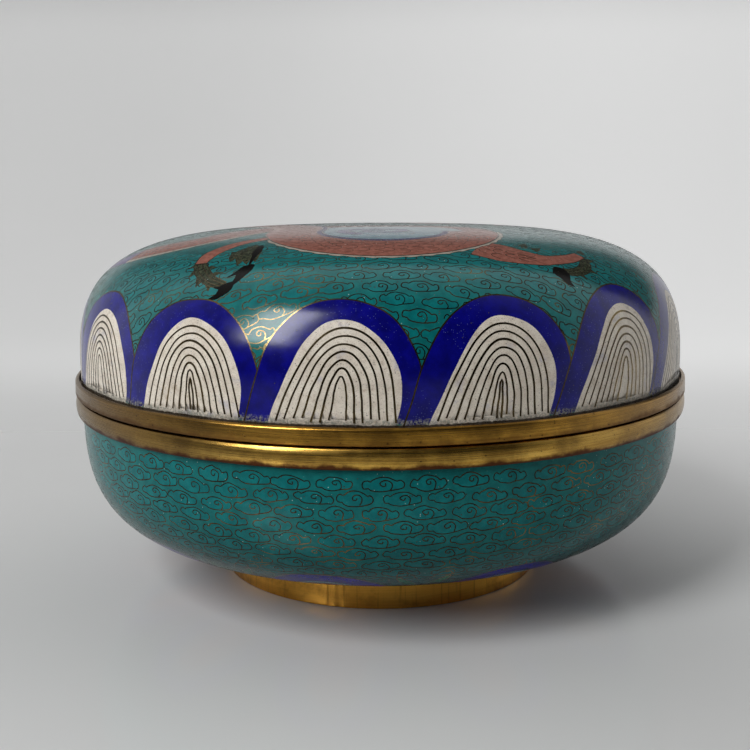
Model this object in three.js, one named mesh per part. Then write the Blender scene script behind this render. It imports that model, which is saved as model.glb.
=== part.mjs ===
// Round cloisonne enamel box: an enamelled copper bowl on a brass foot ring, and a lift-off
// enamelled copper lid. Each half is bound by its own turned brass rim, and the bowl's rim
// carries the inner lip that locates the lid. Millimetres, +Z up, origin at the centre of
// the foot's underside.

import * as THREE from 'three';

// Driving dimensions (mm)
const RIM_RADIUS = 76;
const ROUND_SEGMENTS = 60;

const FOOT_RADIUS = 40.8;
const FOOT_STRIP = 2.0;
const FOOT_EDGE = 0.3;
const FLOOR_CLEARANCE = 8.7;

const SHELL_WALL = 2.2;
const PIECE_GAP = 0.3;
const RIM_PARTING = 0.4;

const BOWL_RADIUS = 74.4;
const BOWL_DEPTH = 35.4;
const BOWL_SIDE_POWER = 5.0;
const BOWL_FLOOR_POWER = 3.1;
const BOWL_EQUATOR_DROP = 2.6;

const LID_RADIUS = 74.5;
const LID_RISE = 34.9;
const LID_SIDE_POWER = 4.0;
const LID_CROWN_POWER = 3.2;
const LID_EQUATOR_RISE = 4.1;

const BOWL_BAND_HEIGHT = 4.3;
const BOWL_BAND_BULGE = 0.7;
const BULGE_STEPS = 8;
const LID_BAND_HEIGHT = 3.6;
const LID_BAND_DRAFT = 0.1;
const LID_BAND_EASE = 0.4;
const MOUTH_EASE = 0.3;
const BAND_SKIRT = 1.0;
const BAND_SEAT = 1.9;
const LIP_OUTER_RADIUS = 71.7;
const LIP_WALL = 1.3;
const LIP_HEIGHT = 4.2;
const LIP_CHAMFER = 0.3;
const LIP_CLEARANCE = 0.4;

// Heights worked out from them
const PARTING = FLOOR_CLEARANCE + BOWL_DEPTH + BOWL_EQUATOR_DROP;
const BOWL_BAND_TOP = PARTING - RIM_PARTING / 2;
const LID_BAND_BASE = PARTING + RIM_PARTING / 2;
const LIP_INNER_RADIUS = LIP_OUTER_RADIUS - LIP_WALL;
const LID_BAND_BORE = LIP_OUTER_RADIUS + LIP_CLEARANCE;
const SKIRT_BORE = RIM_RADIUS - BAND_SKIRT;

const CURVE_SAMPLES = 400;
const BEND_WEIGHT = 60;
const OUTER_STEPS = 13;
const INNER_STEPS = 8;

const enamel = new THREE.MeshStandardMaterial({ color: 0x1f6f78, roughness: 0.28, metalness: 0 });
const bowlEnamel = new THREE.MeshStandardMaterial({ color: 0x1d6a74, roughness: 0.3, metalness: 0 });
const brass = new THREE.MeshStandardMaterial({ color: 0x9c7530, roughness: 0.38, metalness: 1 });
const footBrass = new THREE.MeshStandardMaterial({ color: 0xa87a2e, roughness: 0.42, metalness: 1 });

// One quarter of the curve (r / radius)^sidePower + (h / rise)^crownPower = 1, from the
// pole on the axis out to the equator. The steps are even in length plus bend, where a
// bend of one radian counts as BEND_WEIGHT millimetres, so the shoulder gets more of them.
function quarterCurve(radius, rise, sidePower, crownPower, steps) {
  const fine = [];
  for (let i = 0; i <= CURVE_SAMPLES; i += 1) {
    const turn = (Math.PI / 2) * (i / CURVE_SAMPLES);
    const r = radius * Math.sin(turn) ** (2 / sidePower);
    const h = rise * Math.cos(turn) ** (2 / crownPower);
    fine.push(new THREE.Vector2(i === 0 ? 0 : r, i === CURVE_SAMPLES ? 0 : h));
  }
  const along = [0];
  let heading = 0;
  for (let i = 1; i < fine.length; i += 1) {
    const stride = fine[i].clone().sub(fine[i - 1]);
    const next = Math.atan2(-stride.y, stride.x);
    along.push(along[i - 1] + stride.length() + BEND_WEIGHT * Math.abs(next - heading));
    heading = next;
  }
  const length = along[along.length - 1];
  const points = [];
  let at = 0;
  for (let step = 0; step <= steps; step += 1) {
    const wanted = (length * step) / steps;
    while (at < along.length - 2 && along[at + 1] < wanted) {
      at += 1;
    }
    const part = (wanted - along[at]) / (along[at + 1] - along[at]);
    points.push(fine[at].clone().lerp(fine[at + 1], part));
  }
  return points;
}

// A shell of even wall from pole to edge. `side` is +1 for the lid, which rises from its
// equator, and -1 for the bowl, which sinks from it. The wall runs straight from the
// equator to the edge that sits in the brass rim.
function shellProfile({ radius, rise, sidePower, crownPower, equator, edge, side }) {
  const place = (point) => new THREE.Vector2(point.x, equator + side * point.y);
  const outer = quarterCurve(radius, rise, sidePower, crownPower, OUTER_STEPS).map(place);
  const inner = quarterCurve(
    radius - SHELL_WALL,
    rise - SHELL_WALL,
    sidePower,
    crownPower,
    INNER_STEPS,
  ).map(place);
  return [
    ...outer,
    new THREE.Vector2(radius, edge),
    new THREE.Vector2(radius - SHELL_WALL, edge),
    ...inner.reverse(),
  ];
}

// A turned ring: a closed section given as [radius, height] pairs.
function ringProfile(pairs) {
  const points = pairs.map(([r, z]) => new THREE.Vector2(r, z));
  points.push(points[0].clone());
  return points;
}

// Turns a profile about +Z. three.js turns about +Y, so the solid is stood up afterwards.
// The profile's direction sets which way the faces point, so it is checked and reversed.
function turned(name, profile, material) {
  let doubledArea = 0;
  for (let i = 0; i < profile.length; i += 1) {
    const a = profile[i];
    const b = profile[(i + 1) % profile.length];
    doubledArea += a.x * b.y - b.x * a.y;
  }
  const path = doubledArea > 0 ? profile : [...profile].reverse();
  const geometry = new THREE.LatheGeometry(path, ROUND_SEGMENTS);
  geometry.rotateX(Math.PI / 2);
  const mesh = new THREE.Mesh(geometry, material);
  mesh.name = name;
  return mesh;
}

// Strip of brass bent to a hoop and soldered under the bowl, its lower edges eased. It
// reaches up to the bowl's curved underside.
function footRing() {
  const inner = FOOT_RADIUS - FOOT_STRIP;
  const crown = (1 - (inner / BOWL_RADIUS) ** BOWL_SIDE_POWER) ** (1 / BOWL_FLOOR_POWER);
  const top = FLOOR_CLEARANCE + BOWL_DEPTH * (1 - crown) - PIECE_GAP;
  const section = ringProfile([
    [inner, FOOT_EDGE],
    [inner + FOOT_EDGE, 0],
    [FOOT_RADIUS - FOOT_EDGE, 0],
    [FOOT_RADIUS, FOOT_EDGE],
    [FOOT_RADIUS, top],
    [inner, top],
  ]);
  return turned('foot_ring', section, footBrass);
}

function bowlShell() {
  const profile = shellProfile({
    radius: BOWL_RADIUS,
    rise: BOWL_DEPTH,
    sidePower: BOWL_SIDE_POWER,
    crownPower: BOWL_FLOOR_POWER,
    equator: PARTING - BOWL_EQUATOR_DROP,
    edge: BOWL_BAND_TOP - BAND_SEAT - PIECE_GAP,
    side: -1,
  });
  return turned('bowl_shell', profile, bowlEnamel);
}

// Rounded band whose skirt hides the bowl's edge, with the lip that locates the lid. Its
// outer face is half an ellipse, from the foot of the band to its top.
function bowlRim() {
  const foot = BOWL_BAND_TOP - BOWL_BAND_HEIGHT;
  const seat = BOWL_BAND_TOP - BAND_SEAT;
  const lipTop = PARTING + LIP_HEIGHT;
  const face = [];
  for (let i = 0; i <= BULGE_STEPS; i += 1) {
    const turn = Math.PI * (i / BULGE_STEPS - 0.5);
    const out = RIM_RADIUS - BOWL_BAND_BULGE * (1 - Math.cos(turn));
    face.push([out, foot + (BOWL_BAND_HEIGHT / 2) * (1 + Math.sin(turn))]);
  }
  const section = ringProfile([
    [LIP_INNER_RADIUS, seat],
    [SKIRT_BORE, seat],
    [SKIRT_BORE, foot],
    ...face,
    [LIP_OUTER_RADIUS, BOWL_BAND_TOP],
    [LIP_OUTER_RADIUS, lipTop - LIP_CHAMFER],
    [LIP_OUTER_RADIUS - LIP_CHAMFER, lipTop],
    [LIP_INNER_RADIUS, lipTop],
  ]);
  return turned('bowl_rim', section, brass);
}

// Flatter band around the lid's mouth. The lid's edge stands in its rebate.
function lidRim() {
  const top = LID_BAND_BASE + LID_BAND_HEIGHT;
  const seat = LID_BAND_BASE + BAND_SEAT;
  const shoulder = RIM_RADIUS - LID_BAND_DRAFT;
  const section = ringProfile([
    [LID_BAND_BORE, LID_BAND_BASE],
    [RIM_RADIUS - MOUTH_EASE, LID_BAND_BASE],
    [RIM_RADIUS, LID_BAND_BASE + MOUTH_EASE],
    [shoulder, top - LID_BAND_EASE],
    [shoulder - LID_BAND_EASE, top],
    [SKIRT_BORE, top],
    [SKIRT_BORE, seat],
    [LID_BAND_BORE, seat],
  ]);
  return turned('lid_rim', section, brass);
}

function lidShell() {
  const profile = shellProfile({
    radius: LID_RADIUS,
    rise: LID_RISE,
    sidePower: LID_SIDE_POWER,
    crownPower: LID_CROWN_POWER,
    equator: PARTING + LID_EQUATOR_RISE,
    edge: LID_BAND_BASE + BAND_SEAT + PIECE_GAP,
    side: 1,
  });
  return turned('lid_shell', profile, enamel);
}

const box = new THREE.Group();
const lid = new THREE.Group();
lid.add(lidRim(), lidShell());
box.add(footRing(), bowlShell(), bowlRim(), lid);

export default box;
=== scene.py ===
"""A cloisonne enamel box: its enamel pictures, wires, brass bands and foot, light and camera.

Each shell has a flat plan, in mm, on which its picture is drawn. A point (u, v) of the plan lies on
the shell in the direction of (u, v) as seen from above, at the distance hypot(u, v) along the curve
from the middle of the top or the base. The front is at -v.
"""
import math
import random

import bpy
import numpy as np
from mathutils import Matrix, Vector
from mathutils.geometry import delaunay_2d_cdt


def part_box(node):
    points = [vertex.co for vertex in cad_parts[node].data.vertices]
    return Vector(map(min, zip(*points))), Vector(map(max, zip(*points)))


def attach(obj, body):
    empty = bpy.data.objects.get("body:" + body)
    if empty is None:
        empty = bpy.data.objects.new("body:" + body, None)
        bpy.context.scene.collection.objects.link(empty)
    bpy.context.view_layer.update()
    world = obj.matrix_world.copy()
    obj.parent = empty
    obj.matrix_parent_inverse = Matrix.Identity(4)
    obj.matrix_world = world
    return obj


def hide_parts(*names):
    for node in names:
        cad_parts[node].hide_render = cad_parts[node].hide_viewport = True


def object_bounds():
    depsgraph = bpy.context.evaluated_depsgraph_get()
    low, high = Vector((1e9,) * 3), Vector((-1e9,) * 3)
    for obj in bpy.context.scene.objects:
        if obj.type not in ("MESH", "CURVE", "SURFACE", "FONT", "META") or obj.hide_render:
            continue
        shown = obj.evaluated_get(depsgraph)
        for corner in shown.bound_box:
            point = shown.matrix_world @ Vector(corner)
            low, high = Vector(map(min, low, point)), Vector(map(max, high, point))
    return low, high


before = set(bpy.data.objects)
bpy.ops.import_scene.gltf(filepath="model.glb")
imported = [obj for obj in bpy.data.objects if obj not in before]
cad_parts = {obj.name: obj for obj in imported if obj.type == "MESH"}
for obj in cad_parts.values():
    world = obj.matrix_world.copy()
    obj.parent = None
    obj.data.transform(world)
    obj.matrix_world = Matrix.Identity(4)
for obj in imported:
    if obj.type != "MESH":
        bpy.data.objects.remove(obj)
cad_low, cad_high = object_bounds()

MM = 0.001
TURN = 2 * math.pi
CURVE_SAMPLES = 4000

# The shells' curves and walls, as the CAD has them
LID_SIDE_POWER = 4.0
LID_CROWN_POWER = 3.2
LID_STRAIGHT = 1.7
BOWL_SIDE_POWER = 5.0
BOWL_FLOOR_POWER = 3.1
BOWL_STRAIGHT = 0.2
SHELL_WALL = 2.2

# How fine the meshes are, with distances in mm
EDGE_POINTS = 360
EDGE_MARGIN = 0.6
FILL_SPACING = 1.3
INSIDE_SPACING = 3.2
LATHE_STEPS = 400
SHARP_ANGLE = math.radians(32)

# The wires' depth in the enamel, how far they stand proud of it, and their widths, in mm
WIRE_KEEL = 0.12
WIRE_RISE = 0.012
CLOUD_WIRE = 0.22
OUTLINE_WIRE = 0.34
FAN_WIRE = 0.42
SCALE_WIRE = 0.17
FINE_WIRE = 0.10
TUFT_WIRE = 0.16
TOOTH_WIRE = 0.18
EDGE_WIRE = 0.20
FACE_WIRE = 0.22
CURL_WIRE = 0.24
LIMB_WIRE = 0.26
RING_WIRE = 0.30


# ---- lines on the plan

def smooth(points, steps=3, closed=False):
    """A smooth line through the points, with that many steps between one and the next."""
    p = np.asarray(points, float)
    if closed:
        p = np.vstack([p[-1], p, p[:2]])
    else:
        p = np.vstack([2 * p[0] - p[1], p, 2 * p[-1] - p[-2]])
    t = np.linspace(0, 1, steps, endpoint=False)[:, None]
    parts = []
    for a, b, c, d in zip(p, p[1:], p[2:], p[3:]):
        cubic = 3 * b - a - 3 * c + d
        parts.append(0.5 * (2 * b + (c - a) * t + (2 * a - 5 * b + 4 * c - d) * t**2 + cubic * t**3))
    line = np.vstack(parts)
    return line if closed else np.vstack([line, p[-2]])


def steps_along(path):
    """The distance from each point of the path to the next."""
    return np.hypot(*np.diff(path, axis=0).T)


def even(path, step):
    """The same line with its points that far apart."""
    along = np.concatenate([[0], np.cumsum(steps_along(path))])
    count = max(2, int(math.ceil(along[-1] / step)) + 1)
    at = np.linspace(0, along[-1], count)
    return np.column_stack([np.interp(at, along, path[:, k]) for k in (0, 1)])


def sides(path):
    """The direction to the left of the path at each point."""
    way = np.gradient(path, axis=0)
    way /= np.hypot(*way.T)[:, None]
    return np.column_stack([-way[:, 1], way[:, 0]])


def shifted(path, left):
    """The path moved to its left by that distance, which may change along it."""
    return path + sides(path) * np.reshape(left, (-1, 1))


def band(path, left, right):
    """The closed outline between two lines on either side of the path."""
    return np.vstack([shifted(path, left), shifted(path, right)[::-1]])


def circle(radius, count, centre=(0, 0), start=0.0):
    """Points round a circle, anticlockwise from its front."""
    a = start + TURN * np.arange(count) / count
    return np.column_stack([centre[0] + radius * np.sin(a), centre[1] - radius * np.cos(a)])


def turned(points, angle, centre=(0, 0), size=1.0):
    """Points turned anticlockwise, scaled and moved."""
    c, s = math.cos(angle), math.sin(angle)
    p = np.asarray(points, float) * size
    return np.column_stack([p[:, 0] * c - p[:, 1] * s, p[:, 0] * s + p[:, 1] * c]) + centre


def inside(points, outline):
    """Which of the points lie within the closed outline."""
    x, y = points[:, 0:1], points[:, 1:2]
    a, b = outline, np.roll(outline, -1, axis=0)
    crosses = (a[:, 1] > y) != (b[:, 1] > y)
    rise = np.where(b[:, 1] == a[:, 1], 1e-9, b[:, 1] - a[:, 1])
    where = a[:, 0] + (b[:, 0] - a[:, 0]) * (y - a[:, 1]) / rise
    return (crosses & (x < where)).sum(axis=1) % 2 == 1


def covered(points, outlines):
    """Which of the points lie within any of the closed outlines."""
    hidden = np.zeros(len(points), bool)
    low, high = points.min(axis=0), points.max(axis=0)
    for outline in outlines:
        if (outline.max(axis=0) > low).all() and (outline.min(axis=0) < high).all():
            hidden |= inside(points, outline)
    return hidden


def border(out, within, outlines):
    """The place between an uncovered and a covered point where the cover starts."""
    for _ in range(7):
        middle = (out + within) / 2
        if covered(middle[None], outlines)[0]:
            within = middle
        else:
            out = middle
    return out


def clipped(path, outlines, shortest=1.0):
    """The stretches of the path that none of the outlines covers."""
    hidden = covered(path, outlines)
    if not hidden.any():
        return [path]
    runs = []
    run = []
    for i, point in enumerate(path):
        if hidden[i]:
            if run:
                run.append(border(path[i - 1], point, outlines))
                runs.append(np.array(run))
                run = []
        else:
            if not run and i:
                run.append(border(point, path[i - 1], outlines))
            run.append(point)
    if len(run) > 1:
        runs.append(np.array(run))
    return [r for r in runs if len(r) > 1 and steps_along(r).sum() > shortest]


# ---- shells

class Shell:
    """The outer curve of the lid or the bowl, turned about the upright axis.

    It is a quarter of a rounded box from the pole to the equator, and from there it runs straight to
    its edge. The lid rises to its pole, and the bowl falls to it.
    """

    def __init__(self, node, rising, side_power, crown_power, straight):
        low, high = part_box(node)
        self.rising = rising
        radius = high.x / MM
        edge, pole = (low.z / MM, high.z / MM) if rising else (high.z / MM, low.z / MM)
        sign = 1.0 if rising else -1.0
        equator = edge + sign * straight
        t = np.linspace(0, math.pi / 2, CURVE_SAMPLES)
        r = radius * np.sin(t) ** (2 / side_power)
        z = equator + (pole - equator) * np.cos(t) ** (2 / crown_power)
        r = np.append(r, radius)
        z = np.append(z, edge)
        s = np.concatenate([[0], np.cumsum(np.hypot(np.diff(r), np.diff(z)))])
        self.length = s[-1]
        self.s = np.linspace(0, self.length, CURVE_SAMPLES // 4)
        self.r = np.interp(self.s, s, r)
        self.z = np.interp(self.s, s, z)
        lean = np.column_stack([-np.gradient(self.z), np.gradient(self.r)]) * sign
        self.lean = lean / np.hypot(*lean.T)[:, None]

    def at_height(self, z):
        """The distance along the curve at which the side wall has this height in mm."""
        order = np.argsort(self.z)
        return float(np.interp(z, self.z[order], self.s[order]))

    def at_radius(self, r):
        return float(np.interp(r, self.r, self.s))

    def radius(self, s):
        return np.interp(s, self.s, self.r)

    def on_wall(self, angle, s):
        """The plan points at an angle round from the front, anticlockwise from above."""
        return np.column_stack([s * np.sin(angle), -s * np.cos(angle)])

    def normals(self, plan):
        s = np.hypot(*plan.T)
        way = plan / np.maximum(s, 1e-9)[:, None]
        out = np.interp(s, self.s, self.lean[:, 0])
        up = np.interp(s, self.s, self.lean[:, 1])
        return np.column_stack([way * out[:, None], up])

    def places(self, plan, lift=0.0):
        """Plan points on the enamel, in metres, raised off it by lift in mm.

        The enamel lies just inside the CAD's surface, and the wires' tops reach that surface.
        """
        s = np.hypot(*plan.T)
        way = plan / np.maximum(s, 1e-9)[:, None]
        flat = way * np.interp(s, self.s, self.r)[:, None]
        surface = np.column_stack([flat, np.interp(s, self.s, self.z)])
        return (surface + self.normals(plan) * (lift - WIRE_RISE)) * MM


def fill_points(length, spacing, rng):
    """Points spread over a disc, a little unevenly, in rings."""
    rings = [np.zeros((1, 2))]
    count = int((length - spacing / 2) / spacing)
    for k in range(1, count + 1):
        radius = k * spacing
        number = max(6, int(TURN * radius / spacing * 0.86))
        rings.append(circle(radius, number, start=rng.random()))
    return np.vstack(rings)


def anticlockwise(outline):
    """The closed outline, run the other way if it was clockwise."""
    a, b = outline, np.roll(outline, -1, axis=0)
    area = (a[:, 0] * b[:, 1] - a[:, 1] * b[:, 0]).sum()
    return outline[::-1] if area < 0 else outline


def triangles(length, regions, spacing, rng):
    """Cuts the disc into triangles that keep to the regions' outlines.

    Returns the points, the triangles, and for each triangle the last region that it lies in, or -1.
    """
    parts = [circle(length, EDGE_POINTS)]
    edges = [(i, (i + 1) % EDGE_POINTS) for i in range(EDGE_POINTS)]
    faces = []
    start = EDGE_POINTS
    for outline in map(anticlockwise, regions):
        parts.append(outline)
        faces.append(list(range(start, start + len(outline))))
        start += len(outline)
    parts.append(fill_points(length, spacing, rng))
    points = [Vector(p) for p in np.vstack(parts)]
    found = delaunay_2d_cdt(points, edges, faces, 0, 1e-4, True)
    owner = [max(ids) if ids else -1 for ids in found[5]]
    return np.array([tuple(p) for p in found[0]]), np.array(found[2]), owner


def ring_of(points, length):
    """The points on the disc's edge, in order round it."""
    on_edge = np.flatnonzero(np.abs(np.hypot(*points.T) - length) < 0.01)
    return on_edge[np.argsort(np.arctan2(points[on_edge, 0], -points[on_edge, 1]))]


def shell_piece(name, shell, regions, finishes, inner_finish, seed):
    """The whole shell as one mesh: regions on the outside, plain enamel inside, and the edge."""
    rng = random.Random(seed)
    plan, outer, owner = triangles(shell.length, [r[0] for r in regions], FILL_SPACING, rng)
    plan_in, inner, _ = triangles(shell.length, [], INSIDE_SPACING, rng)
    first = len(plan)
    edge_out, edge_in = ring_of(plan, shell.length), ring_of(plan_in, shell.length) + first
    around = [
        (edge_out[i - 1], edge_out[i], edge_in[i], edge_in[i - 1]) for i in range(len(edge_out))
    ]
    if shell.rising:
        inner = inner[:, ::-1]
        around = [face[::-1] for face in around]
    else:
        outer = outer[:, ::-1]
    verts = np.vstack([shell.places(plan), shell.places(plan_in, -SHELL_WALL)])
    normals = np.vstack([shell.normals(plan), -shell.normals(plan_in)])
    order = list(finishes)
    slots = [order.index(regions[k][1]) if k >= 0 else 0 for k in owner]
    slots += [order.index(inner_finish)] * (len(inner) + len(around))
    faces = outer.tolist() + (inner + first).tolist() + [list(map(int, f)) for f in around]
    piece = new_piece(name, verts, faces, [finishes[k] for k in order], slots)
    piece.data.polygons.foreach_set("use_smooth", [True] * len(faces))
    piece.data.normals_split_custom_set_from_vertices(normals.tolist())
    return piece


# ---- pieces

def new_piece(name, verts, faces, finishes, slots=None):
    """A mesh object in the scene. slots says which finish each face has."""
    mesh = bpy.data.meshes.new(name)
    mesh.from_pydata(np.asarray(verts).tolist(), [], faces)
    for finish in finishes:
        mesh.materials.append(finish)
    if slots is not None:
        mesh.polygons.foreach_set("material_index", slots)
    mesh.update()
    piece = bpy.data.objects.new(name, mesh)
    bpy.context.scene.collection.objects.link(piece)
    return piece


def wire_piece(name, shell, paths, finish, seed):
    """Flat wires set on edge in the enamel, each with a keel in it and a worn top just proud."""
    rng = random.Random(seed)
    verts = []
    faces = []
    start = 0
    for path, width in paths:
        closed = np.hypot(*(path[0] - path[-1])) < 1e-6
        if closed:
            path = path[:-1]
        count = len(path)
        if count < 2 or (closed and count < 4):
            continue
        places = shell.places(path) / MM
        normals = shell.normals(path)
        if closed:
            way = np.roll(places, -1, axis=0) - np.roll(places, 1, axis=0)
        else:
            way = np.gradient(places, axis=0)
        side = np.cross(normals, way)
        side /= np.maximum(np.linalg.norm(side, axis=1), 1e-9)[:, None]
        half = width / 2 * rng.uniform(0.88, 1.12)
        top = places + normals * WIRE_RISE
        keel = places - normals * WIRE_KEEL
        section = np.stack([top - side * half, top + side * half, keel], axis=1)
        verts.append(section.reshape(-1, 3))
        last = count if closed else count - 1
        for i in range(last):
            a, b = start + 3 * i, start + 3 * ((i + 1) % count)
            faces += [(a, b, b + 1, a + 1), (a + 1, b + 1, b + 2, a + 2), (a + 2, b + 2, b, a)]
        if not closed:
            end = start + 3 * (count - 1)
            faces += [(start, start + 1, start + 2), (end + 2, end + 1, end)]
        start += 3 * count
    return new_piece(name, np.vstack(verts) * MM, faces, [finish])


def meridian(node):
    """The node's closed section in the half plane to the right, as (radius, height) in mm."""
    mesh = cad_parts[node].data
    key = {}
    for v in mesh.vertices:
        if abs(v.co.y) < 1e-6 and v.co.x > 0:
            key[v.index] = (round(v.co.x / MM, 3), round(v.co.z / MM, 3))
    links = {}
    for edge in mesh.edges:
        a, b = (key.get(i) for i in edge.vertices)
        if a and b and a != b:
            links.setdefault(a, set()).add(b)
            links.setdefault(b, set()).add(a)
    path = [min(links)]
    while True:
        onward = [p for p in links[path[-1]] if p not in path]
        if not onward:
            return path
        path.append(min(onward))


def softened(outline, radius):
    """The closed outline with its corners rounded off where its sides are long enough."""
    p = np.array(outline)
    before, after = np.roll(p, 1, axis=0), np.roll(p, -1, axis=0)
    result = []
    for a, b, c in zip(before, p, after):
        reach = min(radius, np.hypot(*(a - b)) / 3, np.hypot(*(c - b)) / 3)
        first = b + (a - b) / np.hypot(*(a - b)) * reach
        last = b + (c - b) / np.hypot(*(c - b)) * reach
        result += [first, (first + last) / 4 + b / 2, last]
    return np.array(result)


def lathe(name, outline, finish, dent):
    """A closed outline of (radius, height) in mm turned into a ring. dent(angle, radius) is in mm."""
    ring = len(outline)
    rows = []
    for k in range(LATHE_STEPS):
        angle = TURN * k / LATHE_STEPS
        r = outline[:, 0] - dent(angle, outline[:, 0])
        rows.append(np.column_stack([r * math.sin(angle), -r * math.cos(angle), outline[:, 1]]))
    faces = []
    for k in range(LATHE_STEPS):
        a, b = k * ring, (k + 1) % LATHE_STEPS * ring
        faces += [(a + i, b + i, b + (i + 1) % ring, a + (i + 1) % ring) for i in range(ring)]
    piece = new_piece(name, np.vstack(rows) * MM, faces, [finish])
    outward(piece)
    piece.data.polygons.foreach_set("use_smooth", [True] * len(faces))
    piece.data.set_sharp_from_angle(angle=SHARP_ANGLE)
    return piece


def outward(piece):
    """Turns the faces of a closed mesh so that they look out of it."""
    volume = sum(face.center.dot(face.normal) * face.area for face in piece.data.polygons)
    if volume < 0:
        piece.data.flip_normals()


# ---- materials

BRUSHED_RADIUS = 75
LID_IOR = 1.43
BOWL_IOR = 1.27
FIGURE_IOR = 1.20
CREAM_IOR = 1.5
PIT_COLOUR = (0.025, 0.018, 0.01)
# Heights in mm between which painted shade comes in low on the bowl
PAINTED_SHADE_FROM = 33.0
PAINTED_SHADE_TO = 14.0
# Where a painted highlight brightens the lid's wires, in metres
PAINTED_HIGHLIGHT_PLACE = (-0.020, -0.060, 0.070)
LID_BAND_LOOK = {"dull": (0.46, 0.230, 0.032), "bright": (0.80, 0.44, 0.075), "grime": 0.45}
BOWL_BAND_LOOK = {"dull": (0.64, 0.350, 0.055), "bright": (1.0, 0.64, 0.150), "grime": 0.95}
BAND_PATINA = (0.16, 0.080, 0.018)
# Painted shade on the bands: towards their sides, on their left, and along their top edge
BAND_SIDE_SHADE = (0.17, 0.105, 0.040)
BAND_LEFT_SHADE = (0.11, 0.068, 0.028)
BAND_TOP_SHADE = (0.045, 0.022, 0.010)
BAND_SPOTS = (0.045, 0.018, 0.008)


class Finish:
    """A material's nodes, with short calls for those that the finishes share. Scales are per mm."""

    def __init__(self, name, **constants):
        self.material = bpy.data.materials.new(name)
        self.material.use_nodes = True
        self.tree = self.material.node_tree
        self.shader = self.tree.nodes["Principled BSDF"]
        for socket, value in constants.items():
            self.shader.inputs[socket.replace("_", " ")].default_value = value
        self.place = self.tree.nodes.new("ShaderNodeTexCoord").outputs["Object"]

    def put(self, kind, inputs, **settings):
        """A new node, with each input linked if it is an output, and otherwise set."""
        node = self.tree.nodes.new(kind)
        for name, value in settings.items():
            setattr(node, name, value)
        for socket, value in inputs.items():
            if isinstance(value, bpy.types.NodeSocket):
                self.tree.links.new(value, node.inputs[socket])
            else:
                node.inputs[socket].default_value = value
        return node

    def noise(self, per_mm, detail=2.0, rough=0.5, place=None, offset=0.0):
        """Soft noise from 0 to 1 with features of about 1/per_mm."""
        moved = self.put("ShaderNodeVectorMath", {0: place or self.place, 1: (offset,) * 3}, operation="ADD")
        scale = per_mm if place else per_mm / MM
        inputs = {"Vector": moved.outputs[0], "Scale": scale, "Detail": detail, "Roughness": rough}
        return self.put("ShaderNodeTexNoise", inputs).outputs["Fac"]

    def cells(self, per_mm, output="Distance", offset=0.0):
        """The distance from scattered points, in cells, or each cell's own random colour."""
        moved = self.put("ShaderNodeVectorMath", {0: self.place, 1: (offset,) * 3}, operation="ADD")
        node = self.put("ShaderNodeTexVoronoi", {"Vector": moved.outputs[0], "Scale": per_mm / MM})
        return node.outputs[output]

    def fade(self, value, start, end):
        """0 before start and 1 after end, with a smooth change between them."""
        inputs = {"Value": value, "From Min": start, "From Max": end}
        return self.put("ShaderNodeMapRange", inputs, interpolation_type="SMOOTHSTEP").outputs[0]

    def maths(self, operation, a, b=0.0):
        return self.put("ShaderNodeMath", {0: a, 1: b}, operation=operation).outputs[0]

    def times(self, a, b):
        return self.maths("MULTIPLY", a, b)

    def plus(self, a, b):
        return self.maths("ADD", a, b)

    def minus(self, a, b):
        return self.maths("SUBTRACT", a, b)

    def ranged(self, value, at_zero, at_one):
        """A value from 0 to 1 turned into one between the two given."""
        inputs = {"Value": value, "To Min": at_zero, "To Max": at_one}
        return self.put("ShaderNodeMapRange", inputs).outputs[0]

    def blend(self, share, a, b):
        """Colour a where share is 0 and b where it is 1."""
        node = self.put("ShaderNodeMix", {"Factor": share}, data_type="RGBA")
        for socket, value in ((node.inputs[6], a), (node.inputs[7], b)):
            if isinstance(value, bpy.types.NodeSocket):
                self.tree.links.new(value, socket)
            else:
                socket.default_value = (*value, 1.0)
        return node.outputs[2]

    def stained(self, colour, where, strength, stain):
        """The colour turned towards the stain's, by the given strength at most."""
        return self.blend(self.times(where, strength), colour, stain)

    def along(self, axis):
        """The place along one axis in metres."""
        return self.put("ShaderNodeSeparateXYZ", {0: self.place}).outputs[axis]

    def height(self):
        """The height above the floor in mm."""
        return self.maths("DIVIDE", self.along("Z"), MM)

    def round_place(self, around, across):
        """Coordinates that run round the axis, at these scales per mm, for brushed marks."""
        angle = self.maths("ARCTAN2", self.along("X"), self.times(self.along("Y"), -1.0))
        length = self.put("ShaderNodeVectorMath", {0: self.place}, operation="LENGTH").outputs["Value"]
        inputs = {
            "X": self.times(angle, BRUSHED_RADIUS * around),
            "Y": self.times(self.along("Z"), across / MM),
            "Z": self.times(length, across / MM),
        }
        return self.put("ShaderNodeCombineXYZ", inputs).outputs[0]

    def bump(self, heights):
        """heights is a list of (0 to 1 value, depth in mm), all added up."""
        normal = None
        for value, depth in heights:
            inputs = {"Height": value, "Distance": abs(depth) * MM, "Strength": 1.0}
            if normal:
                inputs["Normal"] = normal
            normal = self.put("ShaderNodeBump", inputs, invert=depth < 0).outputs[0]
        return normal

    def done(self, colour, roughness, normal):
        for socket, value in (("Base Color", colour), ("Roughness", roughness), ("Normal", normal)):
            if value is not None:
                self.tree.links.new(value, self.shader.inputs[socket])
        return self.material


def scattered(finish, per_mm, share, size, offset=0.0):
    """1 in small round spots. share is how many of the cells have one, and size its width in cells."""
    distance = finish.cells(per_mm, offset=offset)
    chance = finish.cells(per_mm, output="Color", offset=offset)
    red = finish.put("ShaderNodeSeparateColor", {0: chance}).outputs[0]
    chosen = finish.fade(red, share + 0.01, share)
    spot = finish.fade(distance, size, size * 0.55)
    return finish.times(chosen, spot)


def ground_ior(band_height):
    """Only the lid's enamel is given a height to flake at, and it is glossier than the bowl's."""
    return BOWL_IOR if band_height is None else LID_IOR


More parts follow.
